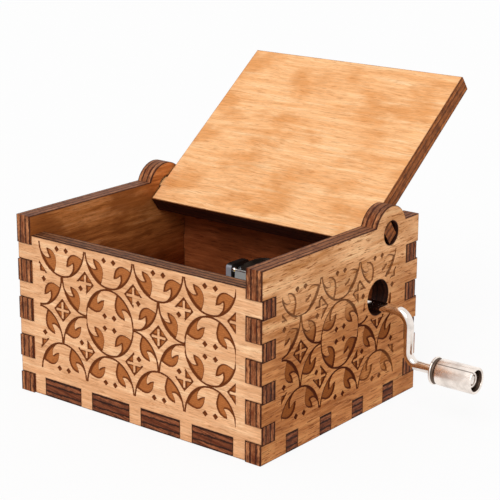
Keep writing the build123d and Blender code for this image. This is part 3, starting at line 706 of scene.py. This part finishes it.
def ply_edge(name, codes, lines, painted_light_codes=None, facing=PAINTED_LIGHT_UP_LEVELS):
    """A laser-cut edge: plies between dark glue lines, sooted, with streaks along the cut.

    Codes are its pale, middle and dark colours, and lines is how strongly the glue shows.
    The other codes paint light and shade by the upward part of its normal: colours matched to an
    edge facing up as lit from above, or painted dark for one facing down as shade.
    """
    material, tree, shader = new_material(name)
    place = in_millimetres(tree)
    ply = marked(tree, "ply")
    wander = ragged(tree, ply, noise(tree, place, *WANDER_NOISE))
    glue = 0.0
    for seam, half in GLUE_LINES:
        reach = (half + GLUE_SOFTNESS, half - GLUE_SOFTNESS)
        line = ranged(tree, apart(tree, wander, seam), *reach, smooth=True)
        glue = worked(tree, "MAXIMUM", glue, line)
    core = ranged(tree, apart(tree, wander, CORE_PLACE), *CORE_LEVELS, smooth=True)
    layer = add(tree, "ShaderNodeCombineXYZ", {0: times(tree, ply, PLY_STRETCH)}).outputs[0]
    thread = shifted(tree, "ADD", layer, shifted(tree, "MULTIPLY", place, THREAD_STRETCH))
    fibres = noise(tree, thread, *THREAD_NOISE)
    soot = noise(tree, place, *SOOT_NOISE)
    tones = [srgb(code) for code in codes]
    # Painted light on edges that face up, painted shade on edges that face down, by the normal.
    if painted_light_codes:
        share = ranged(tree, normal_part(tree, 2), *facing, smooth=True)
        pairs = zip(tones, painted_light_codes)
        tones = [mixed(tree, share, tone, srgb(code)) for tone, code in pairs]
    pale, middle, dark = tones
    tone = mixed(tree, ranged(tree, fibres, *THREAD_LEVELS), middle, pale)
    tone = mixed(tree, times(tree, core, CORE_SHARE), tone, middle)
    tone = mixed(tree, ranged(tree, soot, *SOOT_LEVELS, smooth=True), tone, dark)
    tone = mixed(tree, times(tree, glue, lines), tone, dark)
    inputs = {"Base Color": tone, "Roughness": EDGE_ROUGHNESS, "Specular IOR Level": EDGE_SHINE}
    feed(tree, shader, inputs)
    height = worked(tree, "SUBTRACT", fibres, times(tree, glue, GLUE_DEPTH))
    bumped(tree, shader, height, *EDGE_BUMP)
    return material


def metal(name, code, roughness, spread, stretch=(1.0, 1.0, 1.0), metallic=1.0):
    """A metal with uneven polish: fine scratches along one way and soft stains."""
    material, tree, shader = new_material(name)
    place = in_millimetres(tree)
    brushed = noise(tree, place, *BRUSH_NOISE, stretch)
    stains = noise(tree, place, *STAIN_NOISE)
    scratched = ranged(tree, brushed, *BRUSH_LEVELS, roughness, roughness + spread)
    dulled = ranged(tree, stains, *STAIN_POLISH_LEVELS, 0, spread)
    polish = worked(tree, "ADD", scratched, dulled)
    tone = mixed(tree, ranged(tree, stains, *STAIN_LEVELS), srgb(code), STAIN_TONE)
    feed(tree, shader, {"Base Color": tone, "Roughness": polish, "Metallic": metallic})
    bumped(tree, shader, brushed, *METAL_BUMP)
    return material


# Where faces toward the front turn bright, by the normal's y (bare shear-cut edges, and painted
# light on faces that look to the front), and metallic from face to edge.
SHEARED_AND_LIT_LEVELS = (-0.6, -0.9)
SHEARED_AND_LIT_METALLIC = (0.8, 0.35)


def sheared_and_front_lit(name, face_code, sheared_and_lit_code):
    """Blackened sheet whose faces toward the front are painted bright: partly bare shear-cut
    edges, partly painted light where a whole face looks to the front.
    """
    material = metal(name, face_code, 0.32, 0.14, stretch=(0.6, 0.6, 3.0), metallic=0.7)
    tree, shader, tone = painted(material)
    # Faces toward the front painted bright: bare shear-cut edges on the bracket, painted light on
    # the shield's front face.
    bright = ranged(tree, normal_part(tree, 1), *SHEARED_AND_LIT_LEVELS, smooth=True)
    tone = mixed(tree, bright, tone, srgb(sheared_and_lit_code))
    metallic = ranged(tree, bright, 0, 1, *SHEARED_AND_LIT_METALLIC)
    feed(tree, shader, {"Base Color": tone, "Metallic": metallic})
    return material


# The knob's axis as y and z, then its seam's angle, half width and radius.
KNOB_AXIS = (12.0, 11.4)
SEAM_UP = radians(53)
SEAM_LEVELS = (0.16, 0.05, 0, 0.75)
SEAM_RADII = (2.3, 2.5)
SEAM_TONE = srgb("4a3a32")


def seamed(material):
    """Adds a thin dark seam along the knob's tube to its colour, at one angle about the axis."""
    tree, shader, tone = painted(material)
    back, up = parted(tree, in_millimetres(tree, (0, -KNOB_AXIS[0], -KNOB_AXIS[1])))[1:]
    sine, cosine = sin(SEAM_UP), cos(SEAM_UP)
    aside = worked(tree, "ADD", times(tree, back, sine), times(tree, up, cosine))
    ahead = worked(tree, "SUBTRACT", times(tree, up, sine), times(tree, back, cosine))
    thin = ranged(tree, worked(tree, "ABSOLUTE", aside), *SEAM_LEVELS, smooth=True)
    line = times(tree, thin, ranged(tree, ahead, *SEAM_RADII))
    feed(tree, shader, {"Base Color": mixed(tree, line, tone, SEAM_TONE)})


# ======== turned and bent pieces ========
WIRE_END = 0.3
END_STEPS = 5
BEND_STEPS = 13


def in_mm(corners):
    """Corners in metres as arrays in millimetres."""
    return [np.array(corner) / MM for corner in corners]


def filleted(profile, radius, steps=4):
    """A closed profile with each corner replaced by a quadratic curve of a given reach."""
    corners = np.array(profile, float)
    before, after = np.roll(corners, 1, axis=0) - corners, np.roll(corners, -1, axis=0) - corners
    lengths = np.linalg.norm(before, axis=1), np.linalg.norm(after, axis=1)
    reach = np.minimum(radius, 0.45 * np.minimum(*lengths))[:, None]
    start = corners + before / lengths[0][:, None] * reach
    end = corners + after / lengths[1][:, None] * reach
    t = np.linspace(0, 1, steps + 1)[None, :, None]
    curve = (1 - t) ** 2 * start[:, None] + 2 * t * (1 - t) * corners[:, None]
    curve += t**2 * end[:, None]
    return curve.reshape(-1, 2)


def tube_faces(count, steps, capped):
    """Quads between rings of points, with a fan at each end to one of the two last points.

    A tube that isn't capped has no fans, and its last ring joins the first.
    """
    i, j = np.arange(count - 1 if capped else count)[:, None], np.arange(steps)[None, :]
    near, far, following = i * steps, (i + 1) % count * steps, (j + 1) % steps
    quads = np.stack([near + j, near + following, far + following, far + j], axis=2)
    faces = quads.reshape(-1, 4).tolist()
    if capped:
        first = np.arange(steps)
        last, pole = (count - 1) * steps + first, np.full(steps, count * steps)
        faces += np.stack([np.roll(first, -1), first, pole], axis=1).tolist()
        faces += np.stack([last, np.roll(last, -1), pole + 1], axis=1).tolist()
    return faces


def turned(name, profile, middle, materials, second=None, steps=72):
    """A profile of (height, radius) turned about an axis along X.

    Each point goes to middle + height * X + radius * (cos(a) * Y + sin(a) * Z). A profile
    that starts and ends on the axis is closed there by a fan at each end, and any other
    profile is a closed loop. Second says which points of a loop start a band of the second
    material.
    """
    profile = np.array(profile, float)
    turn = np.arange(steps) * 2 * pi / steps
    spokes = np.stack([turn * 0, np.cos(turn), np.sin(turn)], axis=1)
    on_axis = profile[0, 1] < 1e-6
    rings = profile[1:-1] if on_axis else profile
    axis = np.array([1.0, 0, 0])
    places = rings[:, 0, None, None] * axis + rings[:, 1, None, None] * spokes
    places = places.reshape(-1, 3)
    if on_axis:
        places = np.concatenate([places, profile[[0, -1], 0, None] * axis])
    faces = tube_faces(len(rings), steps, on_axis)
    kinds = 0 if second is None else np.repeat(second, steps)
    return new_piece(name, (places + np.array(middle)) * MM, faces, materials, kinds)


def bent_wire(name, corners, bends, radius, y, material, steps=40):
    """A round wire along straight runs and arcs in the plane of one y.

    Each ring stands across the path: centre + radius * (cos(a) * Y + sin(a) * N), where N is
    the path's normal in the plane. The ends are flat with a rounded edge.
    """
    corners = np.array(corners, float)
    along = np.diff(corners, axis=0)
    along = along / np.linalg.norm(along, axis=1)[:, None]
    edge = np.linspace(0, pi / 2, END_STEPS)
    sunk = WIRE_END * (1 - np.cos(edge))[:, None]
    narrowed = radius - WIRE_END * (1 - np.sin(edge))
    centres = [corners[0] + sunk * along[0]]
    ways = [np.repeat(along[:1], END_STEPS, axis=0)]
    radii = [narrowed]
    turn = np.linspace(0, pi / 2, BEND_STEPS)[:, None]
    for corner, first, second, bend in zip(corners[1:-1], along[:-1], along[1:], bends):
        centre = corner - bend * first + bend * second
        centres.append(centre - bend * np.cos(turn) * second + bend * np.sin(turn) * first)
        ways.append(np.cos(turn) * first + np.sin(turn) * second)
        radii.append(np.full(BEND_STEPS, radius))
    centres.append(corners[-1] - sunk[::-1] * along[-1])
    ways.append(np.repeat(along[-1:], END_STEPS, axis=0))
    radii.append(narrowed[::-1])
    centre, way, size = np.concatenate(centres), np.concatenate(ways), np.concatenate(radii)
    normal = np.stack([-way[:, 1], np.zeros(len(way)), way[:, 0]], axis=1)
    middle = np.stack([centre[:, 0], np.full(len(way), y), centre[:, 1]], axis=1)
    turn = (np.arange(steps) * 2 * pi / steps)[:, None]
    spokes = np.cos(turn) * np.array([0, 1.0, 0]) + np.sin(turn) * normal[:, None]
    places = (middle[:, None] + size[:, None, None] * spokes).reshape(-1, 3)
    places = np.concatenate([places, middle[[0, -1]]]) * MM
    return new_piece(name, places, tube_faces(len(centre), steps, True), [material])


# ======== materials ========
GRAVED = (srgb("be733c"), srgb("6c3410"))
# The side engraving's colours are set apart from the front's on the same plywood, partly as
# painted shade of the side faces.
SIDE_GRAVED = (srgb("a05a24"), srgb("4f1e04"))
SIDE_FADE = (20.0, 26.5)
front_wood = wood(
    "front_wood", ("edb586", "cf915f", "ffd4a6"), ALONG_X, (0.6, 0.5, 0.3), GRAVED
)
back_wood = wood("back_wood", ("e4a574", "c88652", "f2bc8a"), ALONG_X, (0.6, 0.4, 0.3), GRAVED)
# The side veneer is the same plywood as the front's, its colours matched apart to the side faces
# in their light: partly painted light.
side_wood = wood(
    "side_wood", ("f4b680", "be7b40", "ffd09a"), ALONG_Y, (1.0, 0.95, 0.5),
    SIDE_GRAVED, SIDE_FADE, base="dcc4a4",
)
base_wood = wood("base_wood", ("dca473", "bb8350", "ecbc8c"), ALONG_X, (0.6, 0.5, 0.3))
lid_top_wood = wood("lid_top_wood", ("e6a975", "c98a54", "f4c08e"), ALONG_X, (0.6, 0.5, 0.4))
# The inner lid's strong patches partly paint the broad soft shadows across the open lid.
lid_inner_wood = wood(
    "lid_inner_wood", ("fbbf86", "e09654", "ffd4a2"), ALONG_X, (0.55, 0.4, 0.75)
)
# Inner faces of the front, back and base: the same plywood painted much darker, as painted shade
# inside the box.
inner_wood_painted_shade = wood("inner_wood_painted_shade", ("9a5029", "6c3215", "b0643a"), ALONG_X, (0.8, 0.6, 0.4))
# Inner faces of the side walls: the same plywood painted for the light inside the box, lighter
# than the other inner faces, and its base colour turns it darker near the floor as painted shadow
# of the front wall.
inner_side_wood_painted_light_and_shadow = wood(
    "inner_side_wood_painted_light_and_shadow", ("cc7f42", "925020", "e4a068"), ALONG_Y, (1.0, 0.45, 0.8), base="b08060"
)
# The second colours paint the top edges as lit from above.
front_edge = ply_edge(
    "front_edge", ("bb7446", "5f280f", "280a02"), 0.95, ("a06c48", "5f3219", "200801")
)
# The second colours paint the top edges as lit from above.
wall_edge = ply_edge(
    "wall_edge", ("cd8858", "713517", "2e0c02"), 0.9, ("a8704c", "74442a", "3a1208")
)
base_edge = ply_edge("base_edge", ("a5623e", "58240d", "1e0701"), 0.9)
# The crank hole's sawn edge, painted near black as the shade inside the hole.
hole_edge_painted_shade = ply_edge("hole_edge_painted_shade", ("4a2415", "240d06", "0e0402"), 0.6)
# The second colours paint the lid's downward edge dark, as shade.
lid_edge = ply_edge(
    "lid_edge", ("c2743c", "82461e", "3a1604"), 0.6, ("4c2113", "2c0f07", "1c0804"),
    facing=(-0.4, -0.55),
)

steel = metal("plated_steel", "c3c8d2", 0.3, 0.14, metallic=0.75)
comb_steel = metal("comb_steel", "aeb0b3", 0.2, 0.12, (0.3, 6.0, 1.0))
cast_metal = metal("cast_metal", "a9a8a4", 0.38, 0.2)
screw_steel = metal("screw_steel", "c4c2bd", 0.18, 0.12)
black_steel = metal("black_steel", "2c2521", 0.3, 0.15, metallic=0.6)
lead = metal("lead", "55555a", 0.55, 0.2)
cylinder_brass = metal("cylinder_brass", "d6bd7a", 0.2, 0.12, (1.0, 0.2, 1.0))
gear_brass = metal("gear_brass", "c9a75a", 0.24, 0.14)
bracket_steel = sheared_and_front_lit("bracket_steel", "3a3432", "a9acb8")
# The shield's front face is painted bright as lit from the front.
shield_steel = sheared_and_front_lit("shield_steel", "6a6c72", "b9bfc4")
nickel = metal("bright_nickel", "f0e6de", 0.08, 0.05, (0.4, 3.0, 3.0))
turned_nickel = metal("turned_nickel", "fcf0e6", 0.24, 0.08, (5.0, 0.3, 0.3))
# Nickel of the knob's groove and bore, painted dark as the shade in these hollows.
nickel_painted_shade = metal("nickel_painted_shade", "6c5a4e", 0.35, 0.1, (5.0, 0.3, 0.3))
seamed(turned_nickel)

# ======== boards ========
# An ornament is the middle of its lattice on the board, then the field's left, right, bottom
# and top from there. The lid's up axis is that of the open lid.
FRONT_FIELD = ((-19.6, 19.9), (-6.5, 45.3, -13.8, 13.66))
RIGHT_FIELD = ((-14.1, 19.5), (-6.06, 32.5, -13.5, 13.3))
LEFT_FIELD = ((-12.3, 19.5), (-6.06, 32.5, -13.5, 13.3))
TO_RIGHT, TO_LEFT, TO_BACK, TO_FRONT = (1, 0, 0), (-1, 0, 0), (0, 1, 0), (0, -1, 0)
UPWARD = (0, 0, 1)
LID_UP = (0, -0.7989, -0.6015)
front_finish = (front_wood, front_edge, inner_wood_painted_shade)
back_finish = (back_wood, front_edge, inner_wood_painted_shade)
side_finish = (side_wood, wall_edge, inner_side_wood_painted_light_and_shadow)
base_finish = (base_wood, base_edge, inner_wood_painted_shade)
lid_finish = (lid_top_wood, lid_edge, lid_inner_wood)
BOARDS = (
    ("front_panel", "front_wall", TO_RIGHT, UPWARD, front_finish, FRONT_FIELD),
    ("right_panel", "right_wall", TO_BACK, UPWARD, side_finish, RIGHT_FIELD),
    ("left_panel", "left_wall", TO_FRONT, UPWARD, side_finish, LEFT_FIELD),
    ("back_panel", "back_wall", TO_LEFT, UPWARD, back_finish, FRONT_FIELD),
    ("base_board", "bottom_plate", TO_RIGHT, TO_FRONT, base_finish, None),
    ("lid_board", "lid", TO_RIGHT, LID_UP, lid_finish, None),
)
for name, node, across, up, finish, ornament in BOARDS:
    board = carved_panel(name, Side(node, across, up), (*finish, hole_edge_painted_shade), ornament)
    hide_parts(node)
    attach(board, "lid" if node == "lid" else "case")

# ======== crank and knob ========
WIRE_RADIUS = 1.0
WIRE_BENDS = (3.0, 2.6)
ARM_X = 39.6
wire_low, wire_high = in_mm(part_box("crank"))
spindle_y = (wire_low[1] + wire_high[1]) / 2
spindle_z = wire_high[2] - WIRE_RADIUS
knob_z = wire_low[2] + WIRE_RADIUS
wire_path = (
    (wire_low[0], spindle_z), (ARM_X, spindle_z), (ARM_X, knob_z), (wire_high[0], knob_z),
)
crank_wire = bent_wire("crank_wire", wire_path, WIRE_BENDS, WIRE_RADIUS, spindle_y, nickel)
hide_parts("crank")
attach(crank_wire, "crank")

WIRE_HOLE_RADIUS = 1.05
LIP_RADIUS = 2.85
GROOVE_RADIUS = 2.4
TUBE_RADIUS = 2.7
BORE_RADIUS = 2.15
LIP_END = 0.4
GROOVE = (0.55, 1.0)
TUBE_START = 1.35
BORE_DEPTH = 1.5
KNOB_FILLET = 0.22
GROOVE_BAND = (0.45, 1.2)
BORE_BAND = 1.4
MOUTH_RIM = 0.1
BORE_BAND_RADIUS = 2.2
knob_low, knob_high = in_mm(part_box("crank_knob"))
knob_length = knob_high[0] - knob_low[0]
bore_floor = knob_length - BORE_DEPTH
knob_profile = (
    (0.0, WIRE_HOLE_RADIUS), (0.0, LIP_RADIUS), (LIP_END, LIP_RADIUS),
    (GROOVE[0], GROOVE_RADIUS), (GROOVE[1], GROOVE_RADIUS),
    (TUBE_START, TUBE_RADIUS), (knob_length, TUBE_RADIUS),
    (knob_length, BORE_RADIUS), (bore_floor, BORE_RADIUS), (bore_floor, WIRE_HOLE_RADIUS),
)
knob_curve = filleted(knob_profile, KNOB_FILLET)
place, reach = knob_curve.T
# The groove and the bore take the nickel painted dark as shade.
in_groove = (place > GROOVE_BAND[0]) & (place < GROOVE_BAND[1])
in_bore = (place > BORE_BAND) & (place < knob_length - MOUTH_RIM) & (reach < BORE_BAND_RADIUS)
knob_sleeve = turned(
    "knob_sleeve", knob_curve, (knob_low[0], spindle_y, knob_z),
    [turned_nickel, nickel_painted_shade], in_groove | in_bore,
)
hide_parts("crank_knob")
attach(knob_sleeve, "knob")

RIVET_HOLE = 1.03
RIVET_RADIUS = 1.65
RIVET_FILLET = 0.2
rivet_low, rivet_high = in_mm(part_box("knob_rivet"))
thickness = rivet_high[0] - rivet_low[0]
rivet_profile = (
    (0, RIVET_HOLE), (0, RIVET_RADIUS), (thickness, RIVET_RADIUS), (thickness, RIVET_HOLE),
)
rivet_curve = filleted(rivet_profile, RIVET_FILLET)
rivet_disc = turned("rivet_disc", rivet_curve, (rivet_low[0], spindle_y, knob_z), [nickel])
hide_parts("knob_rivet")
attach(rivet_disc, "crank")

# ======== movement ========
FINISHES = {
    "bedplate": cast_metal, "rear_bearing": steel, "comb": comb_steel, "comb_weights": lead,
    "comb_screws": screw_steel, "bracket_screws": screw_steel, "guard_screws": screw_steel,
    "bearing_screws": screw_steel, "mounting_screws": screw_steel, "worm_bracket": bracket_steel,
    "worm_hood": black_steel, "worm_shield": shield_steel, "cylinder": cylinder_brass,
    "front_cap": gear_brass, "rear_cap": gear_brass, "arbor": screw_steel,
    "worm_wheel": gear_brass, "worm": comb_steel, "spindle_clip": screw_steel,
}
for node, material in FINISHES.items():
    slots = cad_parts[node].data.materials
    slots.clear()
    slots.append(material)

BEAD_LEFT = -1.7
BEAD_RADIUS = 0.32
BEAD_SINK = 0.25
BEAD_SHORT = 0.05
BALL_X = -1.95
BALL_RADIUS = 0.52
BALL_STEPS = 13
ROUND_STEPS = 24
shield_low, shield_high = in_mm(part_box("worm_shield"))
shield_y = (shield_low[1] + shield_high[1]) / 2
bead_z = shield_high[2] - BEAD_SINK
bead_ends = ((BEAD_LEFT, bead_z), (shield_high[0] - BEAD_SHORT, bead_z))
shield_bead = bent_wire(
    "shield_bead", bead_ends, (), BEAD_RADIUS, shield_y, nickel, ROUND_STEPS
)
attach(shield_bead, "case")
arc = np.linspace(0, pi, BALL_STEPS)
ball_profile = BALL_RADIUS * np.stack([-np.cos(arc), np.sin(arc)], axis=1)
ball_profile[[0, -1], 1] = 0
bead_ball = turned(
    "bead_ball", ball_profile, (BALL_X, shield_y, bead_z), [nickel], steps=ROUND_STEPS
)
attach(bead_ball, "case")

CYLINDER_RADIUS = 6.5
TRACKS = 18
TRACK_PITCH = 1.03
BEATS = 40
MORE_PINS = 200
PIN_SEED = 18
PIN_HALF = 0.17
PIN_FOOT = -0.1
PIN_RISE = 0.25
SQUARE = np.array([(-1, -1), (1, -1), (1, 1), (-1, 1)])
BOX_SIDES = ((3, 2, 1, 0), (4, 5, 6, 7), (1, 5, 4, 0), (2, 6, 5, 1), (3, 7, 6, 2), (0, 4, 7, 3))


def pins(name, count, seed, material):
    """Short square pins between the CAD's own beats, so that the cylinder carries a full tune.

    A corner is axis + (R + h) * (cos a, 0, sin a) + u * Y + v * (-sin a, 0, cos a), where h is
    the foot or the rise, u and v are half a pin's width each way, and a is the beat's angle.
    """
    axis = sum(np.array(corner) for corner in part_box("arbor")) / 2 / MM
    middle = sum(corner[1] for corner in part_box("cylinder")) / 2 / MM
    drawn = np.random.default_rng(seed).choice(TRACKS * BEATS, count, replace=False)
    track, beat = drawn // BEATS, drawn % BEATS
    angle = 2 * pi * beat / BEATS
    out = np.stack([np.cos(angle), angle * 0, np.sin(angle)], axis=1)[:, None]
    aside = np.stack([-np.sin(angle), angle * 0, np.cos(angle)], axis=1)[:, None]
    along = np.array([0, 1, 0])
    from_middle = (track + (1 - TRACKS) / 2) * TRACK_PITCH
    root = np.array([axis[0], middle, axis[2]]) + from_middle[:, None, None] * along
    corners = SQUARE * PIN_HALF
    square = corners[:, :1] * along + corners[:, 1:] * aside
    levels = [root + (CYLINDER_RADIUS + h) * out + square for h in (PIN_FOOT, PIN_RISE)]
    places = np.concatenate(levels, axis=1).reshape(-1, 3) * MM
    corner_count = 2 * len(SQUARE)
    faces = np.arange(count)[:, None, None] * corner_count + np.array(BOX_SIDES)
    return new_piece(name, places, faces.reshape(-1, 4).tolist(), [material], smooth=False)


tune_pins = pins("tune_pins", MORE_PINS, PIN_SEED, cylinder_brass)
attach(tune_pins, "cylinder")

# ======== camera, floor and light ========
ONE_FACE = [(0, 1, 2, 3)]
WHITE = (1, 1, 1, 1)
FLOOR_TONE = (0.86, 0.86, 0.86, 1)
FLOOR_ROUGHNESS = 0.9
FLOOR_WHITE_SHARE = 0.9
FLOOR_REACH = 3.0
FLOOR_GAP = 0.05
RAIL_TONE = (0.02, 0.018, 0.016, 1)
RAIL_FROM = (-1.5, -0.1)
RAIL_TO = (0.3, -1.3)
RAIL_HEIGHTS = (0.56, 0.64)
SKY_STRENGTH = 0.68
KEY_FROM = Vector((0.24, -0.70, 0.70))
KEY_ENERGY = 1.35
KEY_ANGLE = radians(35)

lens = bpy.data.cameras.new("view")
lens.lens = CAMERA_LENS
lens.sensor_width = CAMERA_SENSOR
lens.shift_x, lens.shift_y = CAMERA_SHIFT
lens.clip_start, lens.clip_end = CAMERA_CLIP
camera = bpy.data.objects.new("view", lens)
turn = Matrix((CAMERA_RIGHT, CAMERA_UP, CAMERA_BACK)).transposed().to_4x4()
camera.matrix_world = Matrix.Translation(Vector(CAMERA_PLACE) * MM) @ turn
scene.collection.objects.link(camera)
scene.camera = camera


def white_to_the_eye(tree, kind, lit, output, share=1.0):
    """Mixes a lit shader with plain white where the camera, a reflection or glass sees it."""
    rays = add(tree, "ShaderNodeLightPath").outputs
    seen = worked(tree, "MAXIMUM", rays["Is Camera Ray"], rays["Is Glossy Ray"])
    seen = worked(tree, "MAXIMUM", seen, rays["Is Transmission Ray"])
    white = add(tree, kind, {"Color": WHITE, "Strength": 1.0}).outputs[0]
    inputs = {0: times(tree, seen, share), 1: lit.outputs[0], 2: white}
    both = add(tree, "ShaderNodeMixShader", inputs).outputs[0]
    feed(tree, tree.nodes[output], {"Surface": both})


floor_places = np.column_stack([SQUARE * FLOOR_REACH, np.full(len(SQUARE), -FLOOR_GAP * MM)])
floor_paint, floor_tree, floor_shader = new_material("floor_paint")
floor_look = {"Base Color": FLOOR_TONE, "Roughness": FLOOR_ROUGHNESS, "Specular IOR Level": 0.0}
feed(floor_tree, floor_shader, floor_look)
white_to_the_eye(
    floor_tree, "ShaderNodeEmission", floor_shader, "Material Output", FLOOR_WHITE_SHARE
)
floor = new_piece("floor", floor_places, ONE_FACE, [floor_paint], smooth=False)

# A dark rail of the light tent, which only reflections see.
rail_places = [(*end, RAIL_HEIGHTS[0]) for end in (RAIL_FROM, RAIL_TO)]
rail_places += [(*end, RAIL_HEIGHTS[1]) for end in (RAIL_TO, RAIL_FROM)]
rail_paint, rail_tree, rail_shader = new_material("rail_paint")
feed(rail_tree, rail_shader, {"Base Color": RAIL_TONE})
rail = new_piece("tent_rail", rail_places, ONE_FACE, [rail_paint], smooth=False)
rail.visible_camera = rail.visible_diffuse = False
rail.visible_shadow = rail.visible_transmission = False

world = bpy.data.worlds.new("studio")
world.use_nodes = True
scene.world = world
sky = world.node_tree
dim = sky.nodes["Background"]
feed(sky, dim, {"Color": WHITE, "Strength": SKY_STRENGTH})
white_to_the_eye(sky, "ShaderNodeBackground", dim, "World Output")

key_lamp = bpy.data.lights.new("key", "SUN")
key_lamp.energy = KEY_ENERGY
key_lamp.angle = KEY_ANGLE
key = bpy.data.objects.new("key", key_lamp)
key.rotation_euler = KEY_FROM.to_track_quat("Z", "Y").to_euler()
scene.collection.objects.link(key)

scene.view_settings.view_transform = "Standard"
bpy.context.view_layer.update()
